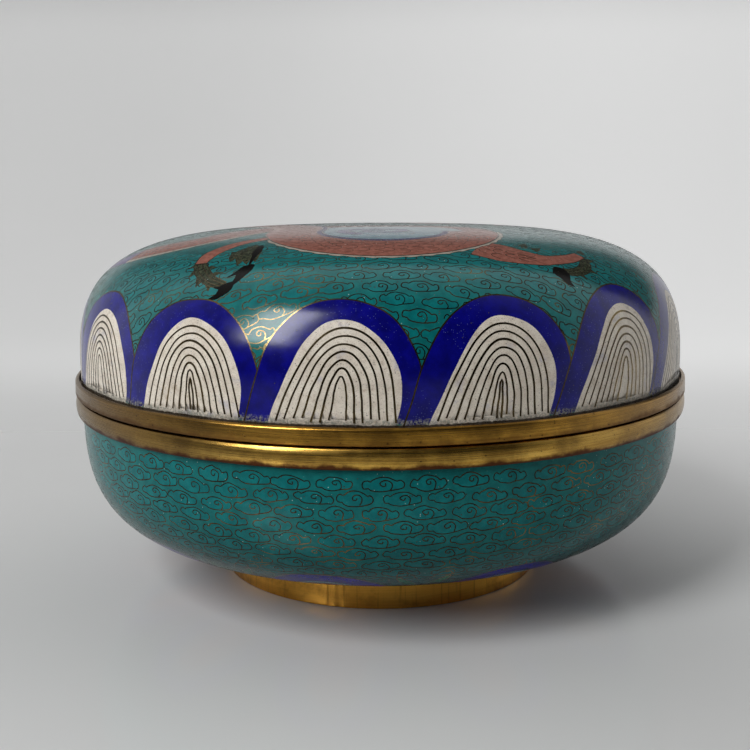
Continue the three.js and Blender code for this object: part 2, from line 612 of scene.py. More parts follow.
def enamel(name, deep, pale, ior, specks=0.06, speck_colour=(0.55, 0.6, 0.6), pits=0.1, pit_size=0.16,
           speck_pitch=1.7, band_height=None, mottle=0.45, painted_shade=0.0):
    """Fired enamel, ground flat: clouded colour, white specks, dark pits and a hazy gloss.

    The last argument is how much painted shade deepens its colour low on the bowl, where it turns under.
    """
    f = Finish(name, IOR=ior)
    clouding = f.fade(f.noise(mottle, 4.0, 0.6), 0.34, 0.68)
    grain = f.fade(f.noise(5.0, 2.0, 0.6, offset=3.0), 0.3, 0.7)
    share = f.plus(f.times(clouding, 0.75), f.times(grain, 0.25))
    colour = f.blend(share, deep, pale)
    gather = f.fade(f.noise(0.09, 2.0, offset=7.0), 0.4, 0.62)
    white = f.times(scattered(f, speck_pitch, specks, 0.2, offset=1.0), gather)
    colour = f.blend(white, colour, speck_colour)
    dark = scattered(f, 1.15, pits, pit_size, offset=2.0)
    colour = f.blend(dark, colour, PIT_COLOUR)
    # Painted shade: the colour darkens low on the bowl, where it turns under
    under = f.fade(f.height(), PAINTED_SHADE_FROM, PAINTED_SHADE_TO)
    colour = f.stained(colour, under, painted_shade, (0.002, 0.010, 0.010))
    rough = f.plus(f.ranged(f.noise(0.5, 3.0), 0.13, 0.23), f.times(dark, 0.4))
    relief = [(f.noise(0.16, 2.0, offset=9.0), 0.022), (f.noise(1.4, 2.0), 0.003), (dark, -0.05)]
    if band_height is not None:
        colour, flaking = flaked_foot(f, colour, band_height)
        relief.append((flaking, 0.12))
        rough = f.plus(rough, f.times(flaking, 0.35))
    return f.done(colour, rough, f.bump(relief))


def flaked_foot(f, colour, band_height):
    """The colour gone pale, flaky and grimy just above a band, and where it is flaky."""
    above = f.minus(f.height(), band_height)
    ragged = f.plus(above, f.times(f.noise(0.8, 4.0, 0.7), -2.4))
    near = f.fade(ragged, 0.6, -0.5)
    crust = f.fade(f.noise(2.2, 5.0, 0.75, offset=5.0), 0.42, 0.6)
    flaking = f.times(near, crust)
    colour = f.blend(flaking, colour, (0.36, 0.36, 0.3))
    grime = f.fade(f.plus(above, f.times(f.noise(1.1, 3.0), -0.6)), 0.08, -0.12)
    return f.blend(grime, colour, (0.05, 0.032, 0.015)), flaking


def teal(name, band_height, brighter):
    """Turquoise ground. The enamel inside the clouds is a little bluer and brighter."""
    deep, pale = ((0.0015, 0.118, 0.125), (0.003, 0.185, 0.190))
    if not brighter:
        deep, pale = ((0.003, 0.112, 0.114), (0.006, 0.172, 0.168))
    # Painted shade darkens it low on the bowl
    return enamel(name, deep, pale, ground_ior(band_height), specks=0.1, speck_colour=(0.45, 0.62, 0.58),
                  pits=0.11, pit_size=0.2, band_height=band_height, mottle=0.4, painted_shade=0.55)


def cream(name, band_height):
    """White enamel gone ivory: pinholes full of dirt, grey and lavender stains."""
    f = Finish(name, IOR=CREAM_IOR)
    clouding = f.fade(f.noise(0.35, 4.0, 0.6), 0.3, 0.7)
    colour = f.blend(clouding, (0.70, 0.62, 0.52), (0.86, 0.79, 0.68))
    stain = f.fade(f.noise(0.22, 3.0, 0.55, offset=11.0), 0.58, 0.74)
    colour = f.stained(colour, stain, 0.6, (0.42, 0.42, 0.55))
    brown = f.fade(f.noise(0.6, 4.0, 0.7, offset=4.0), 0.54, 0.76)
    colour = f.stained(colour, brown, 0.6, (0.36, 0.25, 0.15))
    dust = f.fade(f.noise(6.5, 2.0, 0.6, offset=2.0), 0.56, 0.68)
    colour = f.stained(colour, dust, 0.7, (0.20, 0.13, 0.08))
    pits = scattered(f, 1.5, 0.45, 0.17, offset=6.0)
    colour = f.blend(pits, colour, (0.03, 0.02, 0.01))
    colour, flaking = flaked_foot(f, colour, band_height)
    rough = f.ranged(f.noise(0.6, 3.0), 0.2, 0.4)
    relief = [(f.noise(0.18, 2.0), 0.03), (dust, -0.01), (pits, -0.05), (flaking, 0.12)]
    return f.done(colour, rough, f.bump(relief))


def cobalt(name, band_height):
    """Deep blue enamel with many fine pale bubbles."""
    return enamel(name, (0.0008, 0.0008, 0.110), (0.0025, 0.0025, 0.235), ground_ior(band_height),
                  specks=0.42, speck_pitch=2.6, speck_colour=(0.16, 0.19, 0.50), pits=0.05,
                  band_height=band_height, mottle=0.3)


def wire_metal(name, deep, pale):
    """Brass wire gone brown, brighter in worn patches, with a painted highlight round one place on the lid's
    front left.
    """
    f = Finish(name, Metallic=0.85)
    worn = f.fade(f.noise(0.12, 3.0, 0.6), 0.5, 0.72)
    fine = f.fade(f.noise(1.8, 3.0, 0.6, offset=2.0), 0.35, 0.65)
    colour = f.blend(fine, deep, pale)
    colour = f.stained(colour, worn, 0.5, (0.34, 0.24, 0.08))
    # Painted highlight: the wires brighter round one place on the lid, where the window's highlight falls
    away = f.put("ShaderNodeVectorMath", {0: f.place, 1: PAINTED_HIGHLIGHT_PLACE}, operation="DISTANCE")
    wander = f.times(f.noise(0.2, 2.0, offset=4.0), 0.010)
    painted_highlight = f.fade(f.plus(away.outputs["Value"], wander), 0.028, 0.010)
    colour = f.stained(colour, painted_highlight, 0.15, (0.80, 0.62, 0.32))
    return f.done(colour, f.ranged(fine, 0.26, 0.16), None)


def band_brass(name, low, high, look):
    """Brushed brass, bright in front with painted shade towards its sides and more on its left, brown
    patina, a red-brown lower edge, and painted shade along its top.
    """
    f = Finish(name, Metallic=1.0)
    brushed = f.noise(1.0, 4.0, 0.65, place=f.round_place(0.05, 3.2))
    patches = f.fade(f.noise(0.09, 5.0, 0.65), 0.40, 0.64)
    colour = f.blend(f.fade(brushed, 0.3, 0.7), look["dull"], look["bright"])
    colour = f.stained(colour, patches, 0.65, BAND_PATINA)
    # Painted shade: darker towards the sides and more on the left, so that the band is bright in front
    side = f.along("X")
    wide = f.maths("ABSOLUTE", f.plus(side, -0.006))
    painted_side_shade = f.fade(f.plus(wide, f.times(f.noise(0.05, 3.0), 0.03)), 0.02, 0.075)
    colour = f.stained(colour, painted_side_shade, 0.75, BAND_SIDE_SHADE)
    painted_left_shade = f.fade(f.plus(side, f.times(f.noise(0.07, 3.0, offset=12.0), 0.02)), -0.01, -0.055)
    colour = f.stained(colour, painted_left_shade, 0.5, BAND_LEFT_SHADE)
    wander = f.times(f.noise(0.16, 5.0, 0.7, offset=3.0), 3.4)
    low_edge = f.fade(f.plus(f.minus(f.height(), low), wander), 3.1, 2.0)
    red = f.blend(f.noise(1.2, 3.0, 0.7, offset=6.0), (0.028, 0.012, 0.006), (0.115, 0.026, 0.012))
    colour = f.stained(colour, low_edge, look["grime"], red)
    # Painted shade along the top edge
    top = f.fade(f.plus(f.height(), f.times(f.noise(0.5, 3.0), -0.5)), high - 0.2, high)
    colour = f.stained(colour, top, 0.7, BAND_TOP_SHADE)
    spots = scattered(f, 0.8, 0.2, 0.2, offset=4.0)
    marks = f.maths("MAXIMUM", spots, scattered(f, 2.2, 0.2, 0.22, offset=9.0))
    colour = f.stained(colour, marks, 0.75, BAND_SPOTS)
    rough = f.plus(f.ranged(brushed, 0.18, 0.36), f.times(low_edge, 0.25))
    return f.done(colour, rough, f.bump([(brushed, 0.016), (f.noise(0.3, 2.0), 0.03), (marks, -0.02)]))


def foot_brass(name):
    """The strip round the foot: upright faint marks and warm brown stains over rubbed brass."""
    f = Finish(name, Metallic=1.0)
    upright = f.noise(1.0, 3.0, 0.6, place=f.round_place(0.55, 0.05))
    brushed = f.noise(1.0, 3.0, 0.6, place=f.round_place(0.04, 2.6), offset=5.0)
    stains = f.fade(f.noise(0.13, 4.0, 0.65, offset=8.0), 0.45, 0.7)
    colour = f.blend(brushed, (0.60, 0.28, 0.035), (0.92, 0.50, 0.09))
    colour = f.stained(colour, f.fade(upright, 0.55, 0.75), 0.6, (0.17, 0.075, 0.014))
    colour = f.stained(colour, stains, 0.65, (0.24, 0.10, 0.018))
    return f.done(colour, f.ranged(upright, 0.26, 0.42), f.bump([(upright, 0.02), (brushed, 0.01)]))


def floor_finish():
    """Smooth pale stone that turns into a matt, faintly glowing backdrop.

    Painted shade darkens it in a strip in front of the box and high on the backdrop, except far to the left,
    for what the box reflects. Its glow is painted light, stronger a little to the right of the box, to
    soften its shadow.
    """
    f = Finish("pale_floor", IOR=1.7)
    x, y, z = (f.along(axis) for axis in "XYZ")
    # Painted shade: a strip in front of the box, and the backdrop high up except far to the left
    strip = f.minus(f.fade(y, -0.12, -0.20), f.times(f.fade(y, -0.21, -0.29), 0.6))
    far_left = f.fade(x, -0.45, -1.0)
    high = f.times(f.fade(z, 0.235, 0.42), f.minus(1.0, f.times(far_left, 0.9)))
    behind = f.fade(y, 0.06, 0.36)
    colour = f.blend(f.noise(0.01, 3.0), (0.74, 0.745, 0.74), (0.78, 0.785, 0.78))
    colour = f.stained(colour, f.maths("MAXIMUM", strip, high), 0.75, (0.05, 0.05, 0.05))
    # Painted light: the backdrop glows behind the box, brighter to the right, and a little beside the box to
    # soften its shadow
    right = f.fade(x, -0.25, 0.25)
    glow = f.times(f.times(behind, f.minus(1.0, high)), f.plus(0.26, f.times(right, 0.16)))
    painted_fill_glow = f.times(f.fade(x, 0.05, 0.14), f.minus(1.0, behind))
    glow = f.plus(glow, f.times(painted_fill_glow, 0.10))
    f.shader.inputs["Emission Color"].default_value = (1.0, 1.0, 1.0, 1.0)
    f.tree.links.new(glow, f.shader.inputs["Emission Strength"])
    return f.done(colour, f.ranged(behind, 0.14, 0.9), None)


# ---- clouds

CLOUD_OUTLINE = [
    (0.00, 0.48), (0.04, 0.72), (0.13, 0.78), (0.19, 0.69), (0.24, 0.80), (0.33, 0.93), (0.46, 1.0),
    (0.61, 0.95), (0.74, 0.82), (0.83, 0.66), (0.88, 0.72), (0.95, 0.70), (1.0, 0.46), (0.96, 0.24),
    (0.86, 0.14), (0.66, 0.06), (0.49, 0.00), (0.33, 0.02), (0.20, 0.12), (0.145, 0.25), (0.045, 0.27),
]
CLOUD_CURL = [
    (0.645, 0.04), (0.697, 0.29), (0.69, 0.55), (0.615, 0.74), (0.505, 0.74), (0.435, 0.58), (0.475, 0.42),
    (0.56, 0.43), (0.56, 0.57),
]
CLOUD_HEIGHT = 3.0
CLOUD_UNEVEN = 0.02


def cloud(width, rng):
    """One little cloud about (0, 0): its closed outline and its curl, in mm."""
    def uneven(points):
        return [(x + rng.gauss(0, CLOUD_UNEVEN) * 0.5, y + rng.gauss(0, CLOUD_UNEVEN)) for x, y in points]
    size = np.array([width, CLOUD_HEIGHT * rng.uniform(0.88, 1.08)])
    outline = (smooth(uneven(CLOUD_OUTLINE), 2, closed=True) - 0.5) * size
    curl = (smooth(uneven(CLOUD_CURL), 2) - 0.5) * size
    return outline, curl


def add_cloud(outline, curl, figures, picture):
    """Adds a cloud's enamel and wires to the picture, cut where the figures cover it."""
    outline = np.vstack([outline, outline[:1]])
    hidden = covered(outline, figures)
    if hidden.all():
        return
    picture.ground.append(outline[:-1])
    for path in (outline, curl):
        for run in clipped(path, figures):
            picture.cloud_wires.append((run, CLOUD_WIRE))


class Picture:
    """What is drawn on one shell. Later figures lie over earlier ones, and all lie over the clouds."""

    def __init__(self, shell):
        self.shell = shell
        self.ground = []
        self.figures = []
        self.wires = []
        self.cloud_wires = []

    def outlines(self):
        return [outline for outline, _ in self.figures]

    def fill(self, outline, finish, width=OUTLINE_WIRE, inner=()):
        """A coloured figure with a wire round it, and inner wires that lie within it."""
        self.figures.append((outline, finish))
        level = len(self.figures)
        if width:
            self.wires.append((np.vstack([outline, outline[:1]]), width, level))
        for path, inner_width in inner:
            self.wires.append((path, inner_width, level))

    def line(self, path, width=OUTLINE_WIRE):
        """A wire that lies over everything drawn so far."""
        self.wires.append((path, width, len(self.figures)))

    def wire_paths(self):
        """Every wire, cut where later figures cover it."""
        outlines = self.outlines()
        found = []
        for path, width, level in self.wires:
            found += [(run, width) for run in clipped(path, outlines[level:], 0.5)]
        return found

    def regions(self, cloud_finish):
        return [(outline, cloud_finish) for outline in self.ground] + self.figures


# ---- the lid's arches

ARCH_COUNT = 15
ARCH_BASE = math.radians(-7.0)
ARCH_HEIGHT = 25.2
ARCH_SHAPE = {"left": 16.0, "flare": 4.0, "left_power": 3.0, "right": 15.6, "tuck": 0.0, "right_power": 3.0}
FAN_HEIGHT = 20.6
FAN_SHAPE = {"left": 10.7, "flare": 4.3, "left_power": 2.3, "right": 12.0, "tuck": 2.2, "right_power": 2.7}
ARCH_AHEAD = 2.2
WALL_RADIUS = 74.5
NESTED_WIRES = 7
NEST_TOP, NEST_TOP_STEP = 18.95, 1.53
NEST_LEFT, NEST_LEFT_STEP = 12.3, 1.76
NEST_RIGHT, NEST_RIGHT_STEP = 11.0, 1.58
HAIRPIN_HALF = 0.45
HAIRPIN_ARCHES = (1, 3, 4, 6, 9, 10, 12, 14)
NEST_SHIFTS = {0: (-1.1, 1.4), 1: (-1.2, -0.1), 2: (-0.8, 0.5), 14: (-0.7, 0.2)}


def arch_lean(angle):
    """How far an arch's top stands to the right of the middle of its base, in mm."""
    return WALL_RADIUS * math.radians(1.2 + 3.0 * math.sin(angle + math.radians(5)))


def arch_tallness(angle):
    """How tall an arch is beside the mean: a little taller towards the right."""
    return 1 + 0.05 * math.sin(angle + math.radians(-5)) - 0.02 * (angle > math.pi)


def arch_curve(height, left, flare, left_power, right, tuck, right_power, foot=0.0, step=0.8):
    """A line up an arch's left side and down its right, as (across, up) from under its top.

    left and right are its half widths. Low down the left side flares out and the right is tucked in.
    """
    turn = np.linspace(0, 1, 60)
    rise = np.sin(turn * math.pi / 2)
    shoulder_left = np.sqrt(np.maximum(0, 1 - rise**left_power))
    shoulder_right = np.sqrt(np.maximum(0, 1 - rise**right_power))
    x_left = -left * shoulder_left - flare * (1 - rise) ** 2
    x_right = right * shoulder_right - tuck * (1 - rise) ** 4
    up = foot + rise * (height - foot)
    rising = np.column_stack([x_left, up])
    falling = np.column_stack([x_right, up])[::-1]
    return even(np.vstack([rising, falling[1:]]), step)


def wavy(path, amount, rng):
    """A hand-bent line: a slow small wander to either side."""
    along = np.linspace(0, 1, len(path))
    wander = sum(
        amount / k * np.sin(TURN * (k * along * rng.uniform(1.5, 3.0) + rng.random())) for k in (1, 2, 3)
    )
    return shifted(path, wander)


def arch(base_angle, band_s, shell, rng, nest_shift, hairpin):
    """One arch's parts on the plan: its blue outline, its white fan and the fan's nested wires.

    nest_shift moves the feet and the tops of the nested wires along the wall, in mm. A hairpin is one
    more wire, close set, in the middle.
    """
    lean = arch_lean(base_angle)

    def on_plan(path, foot_shift=0.0, top_shift=0.0):
        foot = ARCH_AHEAD + foot_shift
        x = path[:, 0] + foot + (lean + top_shift - foot) * np.clip(path[:, 1] / ARCH_HEIGHT, 0, 1)
        return shell.on_wall(base_angle + x / WALL_RADIUS, band_s - path[:, 1])

    tall = arch_tallness(base_angle) * rng.uniform(0.995, 1.005)
    outer = on_plan(wavy(arch_curve(ARCH_HEIGHT * tall, **ARCH_SHAPE), 0.12, rng))
    fan = on_plan(wavy(arch_curve(FAN_HEIGHT * tall, **FAN_SHAPE), 0.10, rng))
    nested = []
    for k in range(NESTED_WIRES + hairpin):
        share = 1 - k / (NESTED_WIRES + 0.25)
        top = (NEST_TOP - NEST_TOP_STEP * k) * tall
        flare, tuck = 3.0 * share, -0.7 * share
        left = NEST_LEFT - NEST_LEFT_STEP * k - flare
        right = NEST_RIGHT - NEST_RIGHT_STEP * k + tuck
        if k == NESTED_WIRES:
            left, flare, right, tuck = HAIRPIN_HALF, 0.0, HAIRPIN_HALF, 0.0
        foot = rng.uniform(0.7, 1.5)
        path = arch_curve(top, left, flare, 2.3, right, tuck, 2.6, foot, 0.55)
        nested.append(on_plan(wavy(path, 0.06, rng), *nest_shift))
    return outer, fan, nested


def closed_below(path, length):
    """An arch's line with its two ends led down to the shell's hidden edge."""
    ends = [path[-1], path[0]]
    down = [p / np.hypot(*p) * (length - EDGE_MARGIN) for p in ends]
    return np.vstack([path, down])


def add_arches(picture, band_s, rng):
    """The ring of arches. Each one's left leg lies in front of its neighbour's right leg."""
    shell = picture.shell
    arches = []
    for k in range(ARCH_COUNT):
        angle = ARCH_BASE + TURN * k / ARCH_COUNT
        shift = NEST_SHIFTS.get(k, (rng.uniform(-1.9, -0.9), rng.uniform(-0.3, 1.0)))
        arches.append(arch(angle, band_s, shell, rng, shift, k in HAIRPIN_ARCHES))
    covers = [closed_below(outer, shell.length) for outer, _, _ in arches]
    for cover in covers:
        picture.fill(cover, "cobalt", width=0)
    for k, (outer, fan, nested) in enumerate(arches):
        neighbour = [covers[(k + 1) % ARCH_COUNT]]
        for run in clipped(outer, neighbour):
            picture.line(run)
        picture.fill(closed_below(fan, shell.length), "cream", width=0)
        for path in nested:
            picture.line(path, FAN_WIRE)


# ---- the lid's dragon

DRAGON_SCALE = 76.0
BODY = [
    (-0.91, -0.14), (-0.82, -0.245), (-0.73, -0.325), (-0.64, -0.375), (-0.55, -0.395), (-0.47, -0.365),
    (-0.40, -0.29), (-0.31, -0.20), (-0.18, -0.14), (-0.03, -0.12), (0.13, -0.16), (0.233, -0.281),
    (0.268, -0.41), (0.233, -0.539), (0.139, -0.633), (0.01, -0.668), (-0.119, -0.633), (-0.213, -0.539),
    (-0.25, -0.41), (-0.24, -0.26), (-0.26, -0.10), (-0.34, 0.05), (-0.45, 0.18), (-0.48, 0.34),
    (-0.38, 0.48), (-0.20, 0.54), (-0.03, 0.49), (0.07, 0.39),
]
BODY_STEP = 0.9
BODY_SHARES = (0, 0.05, 0.10, 0.16, 0.35, 0.75, 0.93, 1.0)
BODY_HALVES = (0.6, 3.2, 5.2, 6.2, 6.2, 6.4, 4.8, 4.2)
# Where along the body its scales start, where its tail's part ends, and where the coil's starts
SCALED_SHARE = 0.06
TAIL_SHARE = 0.40
COIL_SHARE = 0.39
FRINGE = 1.25
TOOTH = 1.3
SCALE_LENGTH = 2.5


def on_dragon(points):
    """Points of the dragon's own drawing, whose unit is the lid's radius, in mm."""
    return np.array(points) * DRAGON_SCALE


def stretch(path, width, start, end):
    """The part of the body between two shares of its length."""
    n = len(path)
    a, b = int(start * (n - 1)), int(end * (n - 1)) + 1
    return path[a:b], width[a:b]


def fringe_outline(path, width):
    """The toothed fin along the body's left side."""
    along = np.arange(len(path)) * BODY_STEP
    teeth = 0.55 + 0.45 * np.abs(2 * ((along / TOOTH) % 1) - 1)
    return band(path, width + FRINGE * teeth, width - 0.2)


def scale_wires(path, width, rows, wire):
    """Overlapping U-shaped scales, in staggered rows along the body."""
    left = sides(path)
    way = np.column_stack([left[:, 1], -left[:, 0]])
    wires = []
    bend = np.linspace(-1, 1, 7)
    y = SCALE_LENGTH * 0.8 * np.sqrt(np.maximum(0, 1 - bend**2))
    for k in range(2, len(path) - 3):
        half = (width[k] - 1.3) / rows
        if (k * BODY_STEP) % SCALE_LENGTH >= BODY_STEP or half < 0.45:
            continue
        stagger = half if int(k * BODY_STEP / SCALE_LENGTH) % 2 else 0
        for row in range(rows):
            across = (2 * row + 1 - rows) * half + stagger
            if across <= width[k] - 1.4:
                x = across + bend * half
                wires.append((path[k] + left[k] * x[:, None] - way[k] * y[:, None], wire))
    return wires


def add_body(picture, path, width, belly, fins):
    """One stretch of the body with its belly plate, its scales, and a fin between the given shares."""
    for start, end in fins:
        fin = fringe_outline(*stretch(path, width, start, end))
        picture.fill(fin, "ivory", width=TUFT_WIRE)
    left = sides(path)
    plates = []
    for k in range(2, len(path) - 2, 2):
        across = [path[k] - left[k] * reach for reach in (width[k] - 1.5, width[k])]
        plates.append((np.array(across), SCALE_WIRE))
    scales = scale_wires(path, width, 4, FINE_WIRE)
    picture.fill(band(path, width, -width), "terracotta", inner=scales)
    picture.fill(band(path, -(width - 1.4), -width), belly, width=EDGE_WIRE, inner=plates)


def flame(centre, angle, length, width, bend=0.25):
    """A curved tongue of hair or fire that tapers to a point."""
    shape = [
        (0, 0.5), (0.35, 0.52 + bend * 0.3), (0.7, 0.3 + bend * 0.8), (1.0, bend * 1.6),
        (0.66, -0.1 + bend * 0.7), (0.35, -0.42 + bend * 0.2), (0, -0.5),
    ]
    points = smooth([(x * length, y * width) for x, y in shape], 5)
    return turned(points, angle, centre)


def limb(points, halves, step=BODY_STEP):
    """A tapering limb's middle line and half widths, from its points on the dragon's own scale."""
    path = even(smooth(on_dragon(points), 6), step)
    share = np.linspace(0, 1, len(path))
    return path, np.interp(share, np.linspace(0, 1, len(halves)), halves)


def leg(picture, thigh, shank, tufts, claws):
    """A leg: tufts of fur, a furred shank, a scaled thigh, and curved black claws."""
    for centre, angle, length in tufts:
        tongue = flame(on_dragon(centre), math.radians(angle), length, length * 0.55)
        picture.fill(tongue, "fur", width=TUFT_WIRE)
    lower, half = limb(*shank)
    hairs = [(shifted(lower, share * half), SCALE_WIRE) for share in (-0.4, 0.35)]
    picture.fill(band(lower, half, -half), "fur", width=CURL_WIRE, inner=hairs)
    upper, half = limb(*thigh)
    scales = scale_wires(upper, half, 3, SCALE_WIRE)
    picture.fill(band(upper, half, -half), "terracotta", width=LIMB_WIRE, inner=scales)
    for points, root in claws:
        talon, half = limb(points, (root * 0.35, root * 0.95, root, root * 0.6, root * 0.4, 0.1), 0.5)
        picture.fill(band(talon, half, -half), "black", width=0)


ELBOW_FUR = [
    (-0.345, -0.575), (-0.375, -0.60), (-0.402, -0.625), (-0.412, -0.655), (-0.405, -0.69),
    (-0.392, -0.675), (-0.384, -0.722), (-0.37, -0.70), (-0.358, -0.728), (-0.348, -0.69),
    (-0.336, -0.72), (-0.326, -0.675), (-0.322, -0.62),
]
ELBOW_HAIRS = ([(-0.35, -0.60), (-0.372, -0.64), (-0.38, -0.69)], [(-0.335, -0.61), (-0.352, -0.66)])


def add_front_legs(picture):
    """The two legs nearest the front, with a tuft at the left one's elbow."""
    hairs = [(smooth(on_dragon(run), 4), SCALE_WIRE) for run in ELBOW_HAIRS]
    picture.fill(smooth(on_dragon(ELBOW_FUR), 2, closed=True), "fur", width=EDGE_WIRE, inner=hairs)
    leg(picture,
        thigh=([(-0.27, -0.47), (-0.346, -0.504), (-0.39, -0.525), (-0.431, -0.556), (-0.471, -0.597),
                (-0.495, -0.65)], (2.4, 1.7, 1.8, 2.0, 2.1, 1.5)),
        shank=([(-0.497, -0.650), (-0.488, -0.695), (-0.473, -0.735), (-0.453, -0.768), (-0.42, -0.80)],
               (1.3, 1.6, 1.5, 1.3, 1.0)),
        tufts=[((-0.395, -0.62), 262, 4.0), ((-0.500, -0.650), 185, 2.4), ((-0.502, -0.685), 212, 2.6),
               ((-0.488, -0.730), 235, 2.8), ((-0.462, -0.765), 252, 2.6), ((-0.470, -0.69), 320, 2.2),
               ((-0.452, -0.735), 335, 2.2)],
        claws=[([(-0.326, -0.585), (-0.334, -0.64), (-0.342, -0.69), (-0.352, -0.745)], 0.9),
               ([(-0.338, -0.735), (-0.362, -0.758), (-0.377, -0.788), (-0.402, -0.815)], 1.6),
               ([(-0.366, -0.752), (-0.388, -0.764), (-0.412, -0.772)], 0.7),
               ([(-0.392, -0.800), (-0.418, -0.818), (-0.440, -0.832), (-0.466, -0.830)], 1.5),
               ([(-0.412, -0.806), (-0.432, -0.804), (-0.448, -0.796)], 0.6)])
    leg(picture,
        thigh=([(0.27, -0.64), (0.33, -0.66), (0.40, -0.668), (0.465, -0.655), (0.53, -0.605),
                (0.57, -0.55)], (5.4, 5.2, 3.4, 1.9, 1.7, 1.3)),
        shank=([(0.566, -0.55), (0.582, -0.60), (0.568, -0.65), (0.535, -0.685), (0.505, -0.698)],
               (0.9, 1.25, 1.35, 1.2, 1.0)),
        tufts=[((0.575, -0.53), 65, 3.0), ((0.588, -0.575), 25, 2.6), ((0.585, -0.635), -15, 2.4),
               ((0.40, -0.585), 60, 3.5), ((0.43, -0.60), 40, 3.0), ((0.555, -0.675), -50, 2.2)],
        claws=[([(0.476, -0.696), (0.492, -0.704), (0.506, -0.722), (0.518, -0.742), (0.538, -0.750)], 2.0),
               ([(0.492, -0.698), (0.480, -0.714), (0.474, -0.728)], 0.8)])


def add_back_legs(picture):
    """Two legs of the same kind on the far side."""
    leg(picture,
        thigh=([(-0.44, 0.17), (-0.56, 0.13), (-0.66, 0.05), (-0.72, -0.05)], (4.0, 2.6, 2.2, 1.6)),
        shank=([(-0.715, -0.04), (-0.75, 0.04), (-0.80, 0.07), (-0.85, 0.03)], (1.6, 2.0, 1.6, 1.2)),
        tufts=[((-0.69, 0.05), 120, 5.5), ((-0.73, 0.08), 95, 6.0), ((-0.72, -0.02), 230, 5.0)],
        claws=[([(-0.84, 0.035), (-0.89, 0.03), (-0.91, -0.03)], 1.4),
               ([(-0.84, 0.03), (-0.86, -0.02), (-0.84, -0.07)], 1.1),
               ([(-0.84, 0.04), (-0.89, 0.075), (-0.93, 0.06)], 1.1)])
    leg(picture,
        thigh=([(-0.08, 0.53), (0.02, 0.62), (0.14, 0.67), (0.27, 0.65)], (4.0, 2.6, 2.2, 1.6)),
        shank=([(0.26, 0.655), (0.33, 0.70), (0.40, 0.69), (0.44, 0.64)], (1.6, 2.0, 1.6, 1.2)),
        tufts=[((0.26, 0.68), 100, 5.5), ((0.31, 0.71), 65, 6.0), ((0.27, 0.63), -50, 5.0)],
        claws=[([(0.435, 0.64), (0.49, 0.63), (0.52, 0.57)], 1.4),
               ([(0.43, 0.635), (0.44, 0.58), (0.48, 0.54)], 1.1),
               ([(0.44, 0.65), (0.49, 0.69), (0.54, 0.67)], 1.1)])


HEAD_PLACE = (8.0, 26.5)
HEAD_ANGLE = math.radians(-38)
HEAD_SIZE = 1.12


HORN_RISES = (0.0, 2.6)
JAW = [
    (-1.0, -4.6), (4.0, -5.4), (9.5, -7.6), (13.6, -7.0), (14.6, -5.2), (12.4, -4.9), (8.6, -4.6),
    (5.6, -2.6), (2.0, -1.6),
]
TONGUE = [(4.6, -2.6), (8.4, -3.9), (12.6, -3.6), (16.2, -4.6), (13.2, -2.4), (9.0, -2.2), (5.4, -1.2)]
SKULL = [
    (-4.2, 2.8), (-2.0, 4.9), (1.6, 5.3), (5.0, 3.9), (8.0, 3.3), (11.0, 4.4), (14.4, 4.6), (16.6, 3.0),
    (16.9, 0.9), (14.6, -0.5), (10.4, -0.8), (6.6, -0.6), (3.0, -1.4), (-0.6, -4.2), (-3.6, -3.6),
    (-4.9, -0.6),
]
UPPER_TEETH = ((8.0, 10.2, 12.4, 14.4), ((0, -0.7), (0.8, -2.6), (1.5, -0.6)))
LOWER_TEETH = ((7.6, 10.0, 12.0), ((0, -4.6), (0.6, -2.9), (1.4, -4.8)))
EYE = [(1.6, 3.0), (4.0, 4.0), (6.0, 2.6), (4.2, 1.2), (2.2, 1.4)]
BROW = [(-1.0, 4.6), (2.4, 6.2), (6.2, 4.6), (7.0, 3.4), (3.6, 4.6), (0.6, 3.8)]
NOSTRIL = [(15.6, 3.0), (14.4, 3.3), (13.8, 2.3), (14.8, 1.6)]
CHEEK = [(-3.0, -1.0), (-0.6, -2.2), (1.6, -1.0), (1.0, 0.8), (-0.6, 0.6)]


def set_on_head(points):
    """Points of the head's own drawing, in mm, put where the head is."""
    return turned(points, HEAD_ANGLE, HEAD_PLACE, HEAD_SIZE)


def on_head(points, closed=True):
    return set_on_head(smooth(points, 4, closed=closed))


def add_mane(picture):
    """Tongues of hair round the back of the head."""
    for k in range(7):
        way = math.radians(100 + 26 * k)
        root = turned([(math.cos(way) * 3.4, math.sin(way) * 4.4)], HEAD_ANGLE, HEAD_PLACE)[0]
        tongue = flame(root, HEAD_ANGLE + way, 11.5 - (k % 2) * 2.5, 4.6, bend=0.35)
        picture.fill(tongue, ("fur", "violet")[k % 2], width=CURL_WIRE)


